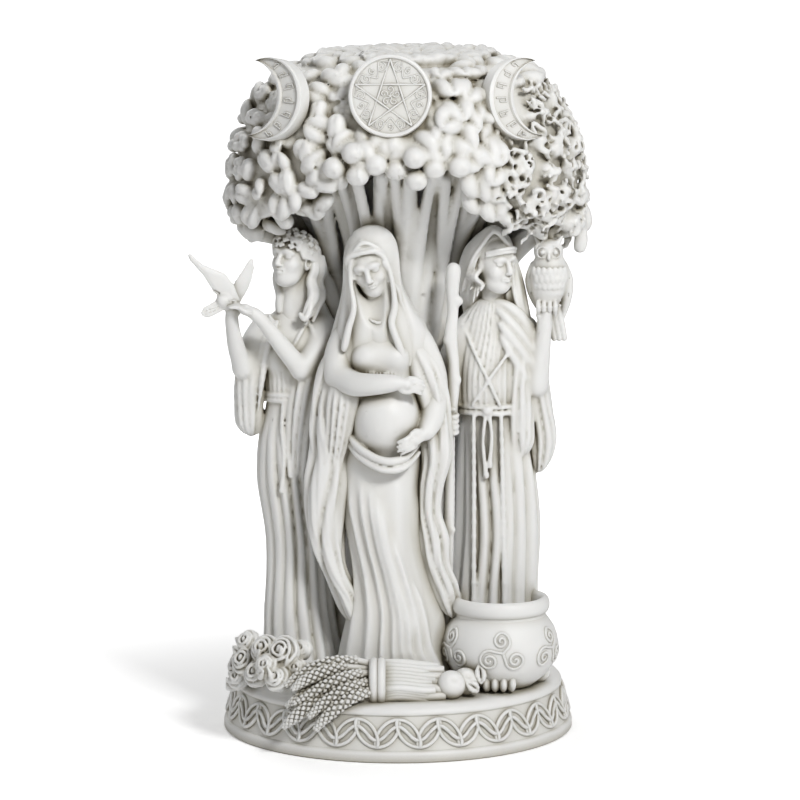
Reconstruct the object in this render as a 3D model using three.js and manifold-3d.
// A table statuette of three goddesses, a maiden, a mother and a crone, before a spreading tree on a round
// plinth. It is cast in bonded marble resin as one piece, but for a small cauldron, which is cast apart and
// bonded on. Millimetres, +Z up. The origin is the centre of the plinth's flat underside, and the figures
// look towards -Y.
import * as THREE from "three";
import { mergeVertices } from "three/addons/utils/BufferGeometryUtils.js";
import Module from "manifold-3d";

const wasm = await Module();
wasm.setup();

// Plinth
const PLINTH_RADIUS = 67.5;
const FILLET_HEIGHT = 4.6;
const BAND_HEIGHT = 12.6;
const MOULDING_HEIGHT = 3.8;
const BAND_STEP = 1.2;
const BAND_TAPER = 3.4;
const TABLE_SETBACK = 8.5;
const KNOT_COUNT = 24;
const KNOT_RELIEF = 1.3;
const KNOT_MARGIN = 1.4;

// Tree, to the top of its crown above the plinth, and the three moons on the crown
const TREE_HEIGHT = 243;
const MOON_RADIUS = 15.6;
const MOON_THICKNESS = 6;
const MOON_RIM = 1.6;
const MOON_RELIEF = 0.8;
const STAR_WIDTH = 1;

// Figures, from the plinth to the top of the head
const MAIDEN_STATURE = 175;
const MOTHER_STATURE = 175;
const CRONE_STATURE = 175;

// Offerings on the plinth
const SHEAF_LENGTH = 60;
const APPLE_RADIUS = 5.4;
const ROSE_RADIUS = 4.4;

// Cauldron
const POT_RADIUS = 22.3;
const POT_HEIGHT = 35;
const POT_MOUTH_RADIUS = 15.4;
const POT_LIP_RADIUS = 18.8;
const POT_WALL = 2.6;
const POT_FOOT_RADIUS = 12.5;
const POT_FOOT_HEIGHT = 3;
const POT_CLEARANCE = 0.4;

// The tree is drawn 243 high, a figure 175 high and the sheaf 60 long, and each is scaled to its own size
const treeScale = TREE_HEIGHT / 243;
const figureScale = (stature) => stature / 175;
const sheafScale = SHEAF_LENGTH / 60;
const EMBED = 1.2;

const PLINTH_HEIGHT = FILLET_HEIGHT + BAND_HEIGHT + MOULDING_HEIGHT;
const TABLE_RADIUS = PLINTH_RADIUS - TABLE_SETBACK;
const STANDS = {
  maiden: [-0.644, -0.119], mother: [-0.102, -0.424], crone: [0.627, -0.153], pot: [0.661, -0.424],
};

const DEGREE = Math.PI / 180;
const clamp01 = (t) => Math.min(1, Math.max(0, t));
const smooth = (t) => clamp01(t) ** 2 * (3 - 2 * clamp01(t));
const stand = (name) => STANDS[name].map((share) => share * TABLE_RADIUS);

// Solids and joins
function solid(geometry) {
  const bare = geometry.index ? geometry.toNonIndexed() : geometry.clone();
  for (const name of Object.keys(bare.attributes)) {
    if (name !== "position") bare.deleteAttribute(name);
  }
  const merged = mergeVertices(bare, 1e-4);
  const vertProperties = merged.attributes.position.array;
  const triVerts = new Uint32Array(merged.index.array);
  return new wasm.Manifold(new wasm.Mesh({ numProp: 3, vertProperties, triVerts }));
}

const join = (solids) => solids.reduce((all, next) => all.add(next));

function meshOf(made, name) {
  const { numProp, numVert, vertProperties, triVerts } = made.getMesh();
  const positions = new Float32Array(numVert * 3);
  for (let i = 0; i < numVert; i++) {
    positions.set(vertProperties.subarray(i * numProp, i * numProp + 3), i * 3);
  }
  const geometry = new THREE.BufferGeometry()
    .setAttribute("position", new THREE.BufferAttribute(positions, 3))
    .setIndex(new THREE.BufferAttribute(triVerts, 1));
  geometry.computeVertexNormals();
  const mesh = new THREE.Mesh(geometry, new THREE.MeshStandardMaterial({ color: 0xe9e8e3, roughness: 0.5 }));
  mesh.name = name;
  return mesh;
}

// Scales drawn geometries and stands them on the plinth, joined
function standing(geometries, [x, y], scale) {
  const place = new THREE.Matrix4().makeScale(scale, scale, scale).setPosition(x, y, PLINTH_HEIGHT);
  return join(geometries.map((geometry) => solid(geometry.applyMatrix4(place))));
}

// A body turned round the Z axis from a profile of [radius, height], which rises on its outside
function lathe(profile, sides) {
  const points = profile.map(([r, z]) => new THREE.Vector2(r, z));
  return new THREE.LatheGeometry(points, sides).rotateX(Math.PI / 2);
}

// Counts the steps from a lathe's first point, which faces -Y, round to a point
function stepRound(p, sides) {
  return Math.round((Math.atan2(p.x, -p.y) / (2 * Math.PI)) * sides) + sides;
}

// Moves every vertex of a geometry by a rule
function reshape(geometry, rule) {
  const at = geometry.attributes.position;
  for (let i = 0; i < at.count; i++) {
    const moved = rule(new THREE.Vector3().fromBufferAttribute(at, i));
    at.setXYZ(i, moved.x, moved.y, moved.z);
  }
  return geometry;
}

// Reads a table of rows by its first column, with a smooth curve through the rows
function row(table, key) {
  const last = table.length - 1;
  if (key <= table[0][0]) return table[0].slice(1);
  if (key >= table[last][0]) return table[last].slice(1);
  const i = table.findIndex((r) => r[0] > key) - 1;
  const [before, here] = [table[Math.max(0, i - 1)], table[i]];
  const [next, after] = [table[i + 1], table[Math.min(last, i + 2)]];
  const span = next[0] - here[0];
  const t = (key - here[0]) / span;
  return here.slice(1).map((a, k) => {
    const b = next[k + 1];
    const slopeA = ((b - before[k + 1]) / (next[0] - before[0])) * span;
    const slopeB = ((after[k + 1] - a) / (after[0] - here[0])) * span;
    return (2 * t ** 3 - 3 * t ** 2 + 1) * a + (t ** 3 - 2 * t ** 2 + t) * slopeA
      + (3 * t ** 2 - 2 * t ** 3) * b + (t ** 3 - t ** 2) * slopeB;
  });
}

// A fold is [angle at its top, angle at its foot, height of its top, of its foot, relief, half width], with
// its angles and half width in degrees
function foldRelief(folds, angle, z) {
  let sum = 0;
  for (const [above, below, top, foot, relief, width] of folds) {
    const t = (top - z) / (top - foot);
    let off = angle - (above + (below - above) * t);
    off -= Math.round(off / 360) * 360;
    if (t > 0 && t < 1.25) sum += relief * smooth(t * 2.5) * Math.exp(-((off / width) ** 2));
  }
  return sum;
}

// A draped column: rows of [height, centre x, centre y, half width, half depth], with folds round its axis
function drape(rows, folds, sides, steps) {
  const low = rows[0][0];
  const high = rows[rows.length - 1][0];
  const tube = new THREE.CylinderGeometry(1, 1, 1, sides, steps).rotateX(Math.PI / 2);
  return reshape(tube, (p) => {
    const z = low + (high - low) * (p.z + 0.5);
    const [x, y, halfWidth, halfDepth] = row(rows, z);
    const angle = Math.atan2(p.y, p.x);
    const ellipse = 1 / Math.hypot(Math.cos(angle) / halfWidth, Math.sin(angle) / halfDepth);
    const reach = (ellipse + foldRelief(folds, angle / DEGREE, z)) * Math.min(1, Math.hypot(p.x, p.y));
    return new THREE.Vector3(x + reach * Math.cos(angle), y + reach * Math.sin(angle), z);
  });
}

// A limb: a round tube through points of [x, y, z, radius], with blunt domed ends
function limb(points, sides = 6, steps = 4) {
  const path = points.map(([x, y, z]) => new THREE.Vector3(x, y, z));
  const curve = new THREE.CatmullRomCurve3(path, false, "centripetal");
  const frames = curve.computeFrenetFrames(steps);
  const spans = points.length - 1;
  const tube = new THREE.CylinderGeometry(1, 1, 1, sides, steps).rotateX(Math.PI / 2);
  return reshape(tube, (p) => {
    const t = clamp01(p.z + 0.5);
    const step = Math.round(t * steps);
    const span = Math.min(spans - 1, Math.floor(t * spans));
    const radius = points[span][3] + (points[span + 1][3] - points[span][3]) * (t * spans - span);
    const dome = Math.hypot(p.x, p.y) < 1e-6 ? Math.sign(p.z) * radius * 0.55 : 0;
    return curve.getPoint(t)
      .addScaledVector(frames.normals[step], p.x * radius)
      .addScaledVector(frames.binormals[step], p.y * radius)
      .addScaledVector(frames.tangents[step], dome);
  });
}

// An egg of three half axes, turned in degrees about X, then Y, then Z
function egg([x, y, z], [a, b, c], [turnX, turnY, turnZ] = [0, 0, 0], around = 6, down = 4) {
  return new THREE.SphereGeometry(1, around, down)
    .rotateX(Math.PI / 2)
    .scale(a, b, c)
    .rotateX(turnX * DEGREE)
    .rotateY(turnY * DEGREE)
    .rotateZ(turnZ * DEGREE)
    .translate(x, y, z);
}

// A closed flat blade from an outline, such as a wing
function blade(outline, thickness) {
  const shape = new THREE.Shape(outline.map(([x, y]) => new THREE.Vector2(x, y)));
  return new THREE.ExtrudeGeometry(shape, { depth: thickness, bevelEnabled: false })
    .translate(0, 0, -thickness / 2);
}

// Plinth with its interlaced band
function bandRadius(z) {
  return PLINTH_RADIUS - BAND_STEP - (BAND_TAPER * (z - FILLET_HEIGHT)) / BAND_HEIGHT;
}

// The two strands of the knotwork zigzag against each other, which raises every other point of a lattice
const KNOT_ROWS = 3;

function plinth() {
  const bandTop = FILLET_HEIGHT + BAND_HEIGHT;
  const knotRows = Array.from({ length: KNOT_ROWS + 2 }, (_, i) => {
    const z = FILLET_HEIGHT + KNOT_MARGIN + ((BAND_HEIGHT - 2 * KNOT_MARGIN) * i) / (KNOT_ROWS + 1);
    return [bandRadius(z), z];
  });
  const profile = [
    [0, 0], [PLINTH_RADIUS, 0], [PLINTH_RADIUS, FILLET_HEIGHT * 0.8],
    [bandRadius(FILLET_HEIGHT), FILLET_HEIGHT], ...knotRows,
    [TABLE_RADIUS + TABLE_SETBACK * 0.3, bandTop + MOULDING_HEIGHT * 0.6],
    [TABLE_RADIUS, PLINTH_HEIGHT], [0, PLINTH_HEIGHT],
  ];
  const sides = KNOT_COUNT * 2;
  const knotZ = knotRows.slice(1, -1).map(([, z]) => z);
  return reshape(lathe(profile, sides), (p) => {
    const level = knotZ.findIndex((z) => Math.abs(z - p.z) < 1e-3);
    const raised = level >= 0 && (stepRound(p, sides) + level) % 2 === 0 ? KNOT_RELIEF : 0;
    const radius = Math.hypot(p.x, p.y);
    const grow = radius > 0 ? 1 + raised / radius : 1;
    return new THREE.Vector3(p.x * grow, p.y * grow, p.z);
  });
}

// Maiden, with a wreath in her hair and a dove on her raised hands
function maiden() {
  const robe = drape([
    [-EMBED, 2, -1, 17.5, 15], [9, 1.5, -1, 15, 13], [26, 0, 0, 12.4, 12], [53, -0.5, 0, 11.2, 11],
    [80, -3.2, 0, 12, 11], [93, -3.8, 0, 11.4, 10.5], [109, -3.5, 0, 9, 8.4], [122, -3, -1, 11, 9.6],
    [131, -2.5, 0, 13.2, 9.2], [138, -2.5, 0.5, 11.5, 7], [143, -2.2, 0.5, 5, 4.5],
  ], [
    [-140, -160, 108, 0, 1.8, 11], [-108, -126, 108, 0, 2.2, 10], [-80, -88, 108, 0, 2.2, 10],
    [-52, -50, 104, 0, 2.2, 11],
  ], 14, 6);
  const head = [
    egg([-1.6, -2.5, 162.5], [7.6, 9.2, 10.6], [-8, 0, -38], 7, 6),
    egg([0.6, 0, 165], [9.4, 9.6, 8.2], [0, 14, -20], 7, 5),
    limb([[-2, -1, 156, 4.6], [-2, 0, 138, 6.6]], 5, 1),
  ];
  const locks = [
    limb([[7, 0, 165, 3], [9, -2, 150, 3.2], [8, -9, 133, 1.2]], 4, 2),
    limb([[-7, 1, 160, 2.4], [-9, 0, 150, 2.6], [-9, -3, 141, 1.6]], 4, 2),
  ];
  const arms = [
    limb([[-13, 1, 135, 5.4], [-17, -1, 129, 5], [-21.5, -6, 120, 4.2]], 5, 2),
    limb([[-21.5, -6, 120, 4.2], [-24.4, -12, 132, 3], [-24.8, -15, 143, 2.3]], 5, 2),
    limb([[10, -1, 136, 5.4], [8, -6, 128, 5], [1, -12.5, 120.5, 4.2]], 5, 2),
    limb([[1, -12.5, 120.5, 4.2], [-8, -16, 134, 3.1], [-15.5, -18.5, 144, 2.3], [-23, -19.5, 145, 2]], 5, 4),
    egg([-24.5, -17.5, 145.2], [4.6, 4.6, 1.6]),
  ];
  const sleeves = [
    drape([
      [95, -18.4, -1, 3, 3], [100, -18.8, -1, 4.6, 4.4], [122, -18, -2.5, 4.8, 5.4], [138, -11, 0, 3, 4],
    ], [], 6, 3),
    drape([
      [79, 0.5, -8, 2.2, 3], [90, 1, -8, 5.4, 5], [108, 3, -8, 6.8, 6.5], [126, 7, -5, 5.8, 6],
      [141, 6, -1, 2, 4],
    ], [], 6, 3),
  ];
  const wing = [[-3.6, -1], [3.4, 0], [3.9, 6], [1.8, 14], [-0.6, 20.5], [-2.6, 13], [-4.1, 6]];
  const dove = [
    egg([-28.6, -18.4, 148.6], [3.1, 6.6, 3.2], [-24, 0, 55]),
    blade([[-1.6, 0], [1.6, 0], [3.4, 8.4], [0, 10], [-3.4, 8.4]], 1.6)
      .rotateX(-12 * DEGREE).rotateZ(128 * DEGREE)
      .translate(-30.5, -20, 148),
    blade(wing, 1.4)
      .rotateX(90 * DEGREE).rotateY(-36 * DEGREE).rotateZ(8 * DEGREE)
      .translate(-28.6, -18.5, 149.5),
    blade(wing, 1.4).scale(0.8, 0.86, 1)
      .rotateX(90 * DEGREE).rotateY(30 * DEGREE).rotateZ(-30 * DEGREE)
      .translate(-26.6, -17.5, 149),
  ];
  const parts = [robe, ...head, ...locks, ...arms, ...sleeves, ...dove];
  return standing(parts, stand("maiden"), figureScale(MAIDEN_STATURE));
}

// Mother, hooded, with her hands round her belly
function mother() {
  const skirt = drape([
    [-EMBED, 4.5, 0, 23, 14.5], [14, 3.5, 0, 21, 13.5], [32, 4.5, 0, 17.5, 12.5], [44, 3, 0, 14, 12],
    [56, 0.6, 0, 12.6, 12], [74, -0.7, 0, 15, 12.5], [84, -0.8, 0, 15.8, 12.6], [95, 0.5, -1, 14.4, 12.6],
    [106, 1.5, -2, 13, 12], [118, 0, 0, 11.8, 9.6], [127, -0.5, -1.5, 12.6, 11], [134, -0.5, -0.5, 13.6, 9],
    [140, -1, 0, 9.5, 6.5],
  ], [
    [-150, -155, 84, 0, 2.2, 10], [-118, -118, 82, 0, 2.4, 9], [-96, -84, 80, 0, 2.6, 9],
    [-60, -56, 84, 30, 2.4, 16], [-40, -6, 60, 0, 2.8, 11],
  ], 14, 7);
  const body = [
    egg([1.6, -8, 103.5], [12.6, 12, 13.6], [0, 0, 0], 8, 6),
    egg([-6.2, -9, 127.5], [5.6, 5, 5.2], [0, 0, 0], 5, 4),
    egg([5.2, -9, 127.5], [5.6, 5, 5.2], [0, 0, 0], 5, 4),
  ];
  const head = [
    egg([-4.4, -5, 160.6], [6.9, 8.4, 9.8], [18, 0, -14], 7, 6),
    limb([[-3.6, -2.5, 152, 4.2], [-2, -1, 138, 6.6]], 5, 1),
  ];
  const arms = [
    limb([[-15.5, 0, 133, 5], [-16.2, -7, 119, 4.6], [-6, -16, 118.6, 3.6], [5, -20, 119.6, 3]], 6, 4),
    egg([11, -18.5, 118.4], [5.4, 3, 3.6], [0, 12, 20], 6, 4),
    limb([[17, 1, 133, 5], [20.5, -2, 112, 4.6], [15.5, -10.5, 100, 2.8]], 5, 3),
    egg([10, -17, 96], [7.4, 2.8, 3.6], [0, -38, 16], 6, 4),
  ];
  const falls = [
    drape([
      [82, -19, -4, 2, 2.4], [90, -17.6, -5, 4.2, 3.8], [104, -15, -6.6, 6.8, 5.4], [118, -13, -7, 8.4, 5.6],
    ], [], 6, 2),
    drape([
      [26, -10, -3, 2.4, 4], [42, -16, -3, 5, 5], [58, -20.5, -3, 5.6, 5], [74, -20.5, -3, 8, 6],
      [90, -20, -2, 7.4, 6], [106, -21, -1, 4.6, 6], [122, -18, 0, 4.6, 6], [138, -9, 1, 3, 4],
    ], [], 5, 6),
    drape([
      [30, 26, -2, 2, 3], [43, 22, -2, 5, 4.8], [56, 19.5, -2, 5.2, 5], [70, 18, -3, 4, 5],
      [84, 20, -3, 5, 5.2], [98, 20, -3, 6, 6], [116, 17.6, -2, 7, 6], [138, 8, 0, 5, 5],
    ], [], 5, 6),
  ];
  const hoodShape = drape([
    [128, 0, 3, 19, 11], [137, 0, 2, 19, 11], [143, -1, 1.5, 16.4, 10.5], [150, -3, 1.5, 12.6, 10.6],
    [160, -4, 1, 10.6, 11.4], [168, -3.8, 1, 9.8, 11], [173, -3.8, 2, 7.4, 8.6], [176.2, -3.6, 3, 2.6, 3],
  ], [], 10, 5);
  const place = (geometries) => standing(geometries, stand("mother"), figureScale(MOTHER_STATURE));
  const opening = egg([-4.2, -12.5, 152], [7.2, 8.4, 17], [8, 0, -8], 8, 6);
  const hood = place([hoodShape]).subtract(place([opening]));
  return hood.add(place([skirt, ...body, ...head, ...arms, ...falls]));
}

// Crone, hooded, with a staff in one hand and an owl on the other
function crone() {
  const robe = drape([
    [-EMBED, -1, 0, 19, 15], [33, -1, 0, 17, 13.4], [60, 0.5, 0, 17, 12.4], [82, -0.5, 0, 15.8, 12],
    [100, -2, 0, 14.4, 11.4], [112, -1.5, 0, 14, 11], [124, -0.5, 0, 14.4, 11], [134, 0, 0, 13, 9.4],
    [141, -0.5, 0, 10, 8],
  ], [
    [-145, -155, 108, 0, 2, 11], [-114, -126, 106, 0, 2.2, 10], [-92, -94, 106, 0, -2.4, 8],
    [-72, -66, 106, 0, 2.2, 10], [-42, -30, 104, 0, 2, 10],
  ], 14, 5);
  const bodice = drape([
    [109, -5, -4, 9, 9], [114, -5, -4.5, 10, 9.6], [124, -4.4, -4.2, 9.8, 9], [142, -2.5, 0, 5, 5],
  ], [], 8, 3);
  const head = [
    egg([0.4, -3.6, 159.4], [6.9, 8.4, 9.8], [4, 0, 26], 7, 6),
    limb([[-0.6, -2, 151, 4.2], [-0.6, -1, 138, 6.6]], 5, 1),
  ];
  const arms = [
    limb([[-12, -1, 133, 5], [-18.4, -6, 114, 4.8], [-17.6, -12.4, 101, 3]], 5, 3),
    egg([-17, -13.6, 100.8], [4.2, 4, 4.8], [0, 0, 0], 6, 4),
    limb([[11, 0, 135, 5], [14, -2, 124, 4.8], [15, -3.5, 113, 4.3]], 5, 2),
    limb([[15, -3.5, 113, 4.3], [18, -5, 130, 2.9], [19, -5.2, 144, 2.4]], 5, 2),
  ];
  const sleeves = [
    drape([
      [81, 16.6, 1, 2, 2.6], [90, 17.8, 1, 5, 4.6], [106, 16, 1, 4.8, 5.4], [126, 13, 0.5, 5.6, 6.4],
      [139, 7, 0, 3, 4],
    ], [], 6, 4),
  ];
  const staff = limb([
    [-19, -13.6, -EMBED, 2.2], [-18.4, -13.4, 46, 2.1], [-17.2, -13.6, 100, 2.1], [-15.6, -12.8, 122, 2.3],
    [-16.6, -12, 140, 2], [-16, -11, 160, 2.6],
  ], 4, 7);
  const owl = [
    egg([22, -4.6, 150.4], [7, 6.4, 11.4], [6, 8, 0], 7, 5),
    egg([20.4, -5.4, 164.4], [6.6, 5.8, 6.4], [0, 0, 0], 7, 5),
    egg([15.4, -5.4, 169.6], [1.6, 1.4, 2.6], [0, -24, 0], 4, 3),
    egg([25.2, -5.4, 169.6], [1.6, 1.4, 2.6], [0, 24, 0], 4, 3),
    egg([26.6, -3.6, 137], [2.8, 2.2, 9], [0, -10, 0], 5, 4),
  ];
  const hoodShape = drape([
    [126, 1.5, 3, 14.6, 10], [136, 0.6, 3, 13.4, 10], [144, -1.6, 2.6, 11.8, 10], [154, -2.6, 2, 10.4, 10.6],
    [164, -2.6, 1.4, 9.4, 10.4], [170, -1.8, 1, 6.6, 8], [174, -0.8, 1, 1.8, 2.4],
  ], [], 10, 5);
  const place = (geometries) => standing(geometries, stand("crone"), figureScale(CRONE_STATURE));
  const opening = egg([1.4, -11, 152], [7.2, 8.4, 16], [4, 0, 16], 8, 6);
  const hood = place([hoodShape]).subtract(place([opening]));
  return hood.add(place([robe, bodice, ...head, ...arms, ...sleeves, staff, ...owl]));
}

// Tree: a fluted trunk that fans out into boughs
function trunk() {
  const flutes = Array.from({ length: 10 }, (_, i) => [i * 36, i * 36 + 8, 204, -EMBED, 3.6, 9]);
  return drape([
    [-EMBED, 0, 12, 40, 30], [8, 0, 11, 34, 26], [28, 0, 10, 30, 22], [90, 0, 10, 27, 20],
    [130, 1, 8, 26, 18], [150, 2, 6, 29, 18], [163, 3, 4, 36, 22], [175, 3, 3, 46, 30],
    [188, 3, 2, 54, 36], [194, 3, 2, 54, 36],
  ], flutes, 20, 4);
}

// Crown of leaves: its lower rim hangs lowest at the sides and arches up over the figures
const CROWN_MIDDLE = [3.5, 1];
const CROWN_TOP = 240;
const CROWN_LEVELS = [
  [0, 0.3], [0.74, 0.03], [0.9, 0], [0.99, 0.1], [1.01, 0.24], [1, 0.39], [0.97, 0.54], [0.91, 0.69],
  [0.82, 0.83], [0.66, 0.94], [0.44, 1], [0, 1],
];

function crownPoint(angle, level, out = 0) {
  const [share, height] = CROWN_LEVELS[level];
  const side = Math.cos(angle) ** 2;
  const back = clamp01(Math.sin(angle));
  const rim = 189 - 21 * side - 8 * back * (1 - side);
  const reach = share / Math.hypot(Math.cos(angle) / 69, Math.sin(angle) / 50) + (share ? out : 0);
  return new THREE.Vector3(
    CROWN_MIDDLE[0] + reach * Math.cos(angle), CROWN_MIDDLE[1] + reach * Math.sin(angle),
    rim + (CROWN_TOP - rim) * height,
  );
}

// Leaf clumps are bumps two points wide, staggered from level to level
function crown() {
  const sides = 32;
  const profile = CROWN_LEVELS.map(([share], level) => [share ? 1 : 0, level]);
  return reshape(lathe(profile, sides), (p) => {
    const level = Math.round(p.z);
    const bump = (stepRound(p, sides) + 2 * (level % 2)) % 4 < 2;
    return crownPoint(Math.atan2(p.y, p.x), level, bump ? 2.4 : -1.8);
  });
}

// Apples under the crown's front edge, and a few leaves that stand out of its outline
function foliage() {
  const apples = Array.from({ length: 5 }, (_, i) => {
    const at = crownPoint((-122 + 16 * i) * DEGREE, 3, -1);
    return new THREE.IcosahedronGeometry(5, 0).translate(at.x, at.y, at.z + 1 + 5 * (i % 2));
  });
  const leaves = Array.from({ length: 4 }, (_, i) => {
    const angle = i * 137.5 * DEGREE;
    const at = crownPoint(angle, 4 + (i % 6), 0);
    return new THREE.IcosahedronGeometry(6.5, 0).rotateX(i).translate(at.x, at.y, at.z);
  });
  return [...apples, ...leaves];
}

// Full moon with a five-pointed star, and the crescents on either side
function moonDisc() {
  const hollow = MOON_RADIUS - MOON_RIM;
  const plate = new THREE.CylinderGeometry(MOON_RADIUS, MOON_RADIUS, MOON_THICKNESS, 20)
    .rotateX(Math.PI / 2)
    .translate(0, 0, MOON_THICKNESS / 2);
  const sink = new THREE.CylinderGeometry(hollow, hollow, MOON_RELIEF * 2, 20)
    .rotateX(Math.PI / 2)
    .translate(0, 0, MOON_THICKNESS);
  const reach = 2 * hollow * Math.cos(18 * DEGREE) - STAR_WIDTH * 0.4;
  const star = Array.from({ length: 5 }, (_, i) => new THREE.BoxGeometry(reach, STAR_WIDTH, MOON_RELIEF * 1.4)
    .translate(0, hollow * Math.sin(18 * DEGREE), MOON_THICKNESS - MOON_RELIEF)
    .rotateZ(i * 72 * DEGREE));
  return join([solid(plate).subtract(solid(sink)), ...star.map(solid)]);
}

function crescent() {
  const tip = 116 * DEGREE;
  const [tipX, tipY] = [MOON_RADIUS * Math.cos(tip), MOON_RADIUS * Math.sin(tip)];
  const innerX = -MOON_RADIUS * 0.62;
  const innerTip = Math.atan2(tipY, tipX - innerX);
  const outline = new THREE.Shape();
  outline.absarc(0, 0, MOON_RADIUS, -tip, tip, false);
  outline.absarc(innerX, 0, Math.hypot(tipX - innerX, tipY), innerTip, -innerTip, true);
  const flat = { depth: MOON_THICKNESS, bevelEnabled: false, curveSegments: 9 };
  return solid(new THREE.ExtrudeGeometry(outline, flat));
}

// Stands a plate up on the crown, turned to face a bearing, leaning back, and half turned where asked
function hang(plate, [x, y, z], facing, lean, halfTurn = 0) {
  const place = new THREE.Matrix4()
    .makeTranslation(x * treeScale, y * treeScale, PLINTH_HEIGHT + z * treeScale)
    .multiply(new THREE.Matrix4().makeRotationZ(facing * DEGREE))
    .multiply(new THREE.Matrix4().makeRotationX((90 - lean) * DEGREE))
    .multiply(new THREE.Matrix4().makeRotationZ(halfTurn * Math.PI));
  return plate.transform([...place.elements]);
}

// Wheat sheaf along the plinth's front, its ears drooping at the viewer's left
function sheaf() {
  const ears = Array.from({ length: 5 }, (_, i) => {
    const spread = (i - 2) / 2;
    const droop = i % 2 ? 0 : 3.5;
    return limb([
      [-9, -0.8 * spread, 6 - 0.5 * droop, 1.6],
      [-20.4, -2.9 - 3.6 * spread, 7.5 - 0.6 * droop, 3],
      [-36 + 1.8 * droop, -3.6 - 7.9 * spread, 5 - 0.9 * droop, 0.6],
    ], 4, 2);
  });
  const stems = limb([
    [-19, -3.6, 3.4, 5.4], [-3.6, 0, 5, 4.4], [3.6, 0, 5.4, 4.6], [20.4, 1.8, 3, 4.6],
  ], 6, 3);
  const tie = new THREE.TorusGeometry(4.4, 1.3, 3, 8).rotateY(Math.PI / 2).translate(0, 0, 5.2);
  return standing([...ears, stems, tie], [-0.13 * TABLE_RADIUS, -0.83 * TABLE_RADIUS], sheafScale);
}

function apples() {
  const at = [[0.34, -0.83], [0.43, -0.75]];
  return standing(at.map(([x, y], i) => egg(
    [x * TABLE_RADIUS, y * TABLE_RADIUS, APPLE_RADIUS * 0.75],
    [APPLE_RADIUS, APPLE_RADIUS, APPLE_RADIUS * 0.9], [0, 0, i * 40], 8, 6,
  )), [0, 0], 1);
}

// Roses heaped at the maiden's feet
function roses() {
  const heap = Array.from({ length: 8 }, (_, i) => {
    const angle = (152 + 14 * i) * DEGREE;
    const ring = (i % 3 === 1 ? 0.8 : 0.9) * TABLE_RADIUS;
    const size = ROSE_RADIUS * (1 + 0.18 * Math.sin(i * 2.4));
    return new THREE.IcosahedronGeometry(size, 0).rotateX(i)
      .translate(ring * Math.cos(angle), ring * Math.sin(angle), size * (i % 3 === 1 ? 0.8 : 0.5));
  });
  return standing(heap, [0, 0], 1);
}

// Cauldron: a round pot of even wall with a thick lip, on a round foot
function potProfile(grow) {
  return [
    [0, 0], [POT_FOOT_RADIUS + grow, 0], [POT_FOOT_RADIUS + grow, POT_FOOT_HEIGHT],
    [POT_RADIUS * 0.9 + grow, POT_HEIGHT * 0.24], [POT_RADIUS + grow, POT_HEIGHT * 0.45],
    [POT_RADIUS * 0.95 + grow, POT_HEIGHT * 0.64], [POT_MOUTH_RADIUS + POT_WALL + grow, POT_HEIGHT * 0.8],
    [POT_LIP_RADIUS + grow, POT_HEIGHT * 0.9], [POT_LIP_RADIUS + grow, POT_HEIGHT * 0.97],
  ];
}

function cauldron() {
  const inside = [
    [POT_MOUTH_RADIUS, POT_HEIGHT], [POT_MOUTH_RADIUS, POT_HEIGHT * 0.8],
    [POT_RADIUS * 0.95 - POT_WALL, POT_HEIGHT * 0.64], [POT_RADIUS - POT_WALL, POT_HEIGHT * 0.45],
    [POT_RADIUS * 0.9 - POT_WALL, POT_HEIGHT * 0.24 + POT_WALL * 0.4],
    [POT_FOOT_RADIUS - POT_WALL, POT_FOOT_HEIGHT + POT_WALL * 0.6], [0, POT_FOOT_HEIGHT + POT_WALL * 0.4],
  ];
  const [x, y] = stand("pot");
  const shell = lathe([...potProfile(0), ...inside], 20).translate(x, y, PLINTH_HEIGHT + POT_CLEARANCE);
  return solid(shell);
}

// The room that the statue leaves for the cauldron, open upwards
function potRoom() {
  const above = POT_HEIGHT * 1.3;
  const room = [...potProfile(POT_CLEARANCE), [POT_LIP_RADIUS + POT_CLEARANCE, above], [0, above]];
  const [x, y] = stand("pot");
  return solid(lathe(room, 20).translate(x, y, PLINTH_HEIGHT));
}

function statue() {
  const tree = standing([trunk(), crown(), ...foliage()], [0, 0], treeScale);
  const moons = [
    hang(moonDisc(), [-2.9, -40.5, 227], 0, 8),
    hang(crescent(), [-46, -28, 224.5], -34, 10),
    hang(crescent(), [44, -28, 224.5], 34, 10, 1),
  ];
  const figures = [maiden(), mother(), crone()];
  const offerings = [sheaf(), apples(), roses()];
  return join([solid(plinth()), tree, ...moons, ...figures, ...offerings]).subtract(potRoom());
}

const object = new THREE.Group();
object.add(meshOf(statue(), "statue"), meshOf(cauldron(), "cauldron"));
export default object;
